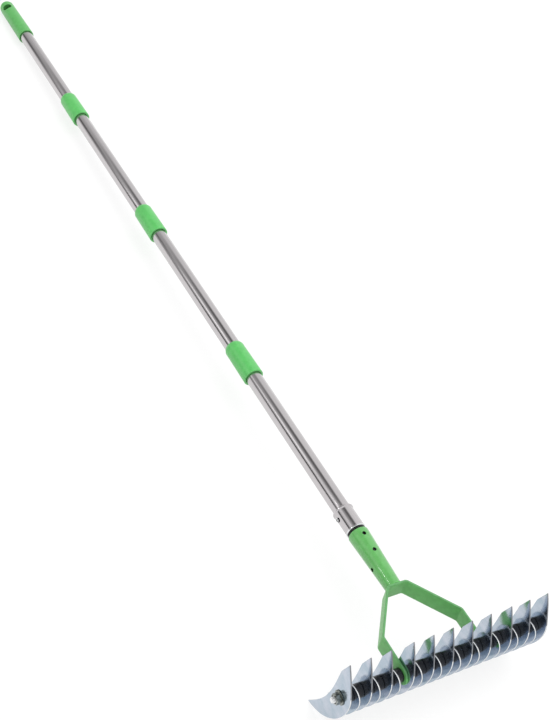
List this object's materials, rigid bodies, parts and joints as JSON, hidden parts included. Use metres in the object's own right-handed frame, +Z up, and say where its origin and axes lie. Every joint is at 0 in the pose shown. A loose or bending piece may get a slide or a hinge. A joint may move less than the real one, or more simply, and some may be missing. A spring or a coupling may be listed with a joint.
{
  "type": "dethatching rake",
  "caption": "Long-handled dethatching rake: a screw-together pole on a forked yoke that holds a rack of hooked blades turning on one axle.",
  "frame": {"origin": "middle of the box around the rake, on the floor it lies on", "axes": "+Y along the pole from the rack towards the grip, +X along the axle, +Z up from the floor"},
  "size_m": [0.3244, 1.6967, 0.1436],
  "materials": {
    "pole_steel": "polished stainless tube, drawn lengthwise",
    "blade_steel": "bright zinc-plated sheet",
    "fastener_zinc": "bright zinc plating",
    "green_paint": "satin powder coat",
    "green_plastic": "smooth moulded plastic",
    "black_plastic": "smooth black plastic"
  },
  "bodies": {
    "head": {"yoke": "green_paint", "ferrule": "green_paint"},
    "rack": {"axle_rod": "fastener_zinc", "axle_nut_left": "fastener_zinc", "axle_nut_right": "fastener_zinc", "long_blade_01": "blade_steel", "long_blade_02": "blade_steel", "long_blade_03": "blade_steel", "long_blade_04": "blade_steel", "long_blade_05": "blade_steel", "long_blade_06": "blade_steel", "long_blade_07": "blade_steel", "long_blade_08": "blade_steel", "long_blade_09": "blade_steel", "long_blade_10": "blade_steel", "long_blade_11": "blade_steel", "short_blade_01": "blade_steel", "short_blade_02": "blade_steel", "short_blade_03": "blade_steel", "short_blade_04": "blade_steel", "short_blade_05": "blade_steel", "short_blade_06": "blade_steel", "short_blade_07": "blade_steel", "short_blade_08": "blade_steel", "short_blade_09": "blade_steel", "short_blade_10": "blade_steel", "spacer_01": "black_plastic", "spacer_02": "black_plastic", "spacer_03": "black_plastic", "spacer_04": "black_plastic", "spacer_05": "black_plastic", "spacer_06": "black_plastic", "spacer_07": "black_plastic", "spacer_08": "black_plastic", "spacer_09": "black_plastic", "spacer_10": "black_plastic", "spacer_11": "black_plastic", "spacer_12": "black_plastic", "spacer_13": "black_plastic", "spacer_14": "black_plastic", "spacer_15": "black_plastic", "spacer_16": "black_plastic", "spacer_17": "black_plastic", "spacer_18": "black_plastic", "spacer_19": "black_plastic", "spacer_20": "black_plastic"},
    "section_4": {"end_plug": "black_plastic", "adapter_sleeve": "pole_steel", "adapter_screw": "pole_steel", "tube_4": "pole_steel", "thread_plug_4": "green_plastic"},
    "section_3": {"connector_3": "green_plastic", "tube_3": "pole_steel", "thread_plug_3": "green_plastic"},
    "section_2": {"connector_2": "green_plastic", "tube_2": "pole_steel", "thread_plug_2": "green_plastic"},
    "section_1": {"connector_1": "green_plastic", "tube_1": "pole_steel", "hand_grip": "green_plastic"}
  },
  "joints": [
    {"name": "rack_pivot", "type": "hinge", "parent": "head", "child": "rack", "pos_m": [0, -0.829, 0.08119], "axis": [1, 0, 0], "range_deg": [-60, 40]},
    {"name": "unscrew_pole", "type": "slide", "parent": "head", "child": "section_4", "axis": [0, 0.9992, -0.0402], "range_m": [0, 0.043]},
    {"name": "unscrew_section_3", "type": "slide", "parent": "section_4", "child": "section_3", "axis": [0, 0.9992, -0.0402], "range_m": [0, 0.034]},
    {"name": "unscrew_section_2", "type": "slide", "parent": "section_3", "child": "section_2", "axis": [0, 0.9992, -0.0402], "range_m": [0, 0.034]},
    {"name": "unscrew_section_1", "type": "slide", "parent": "section_2", "child": "section_1", "axis": [0, 0.9992, -0.0402], "range_m": [0, 0.034]}
  ]
}
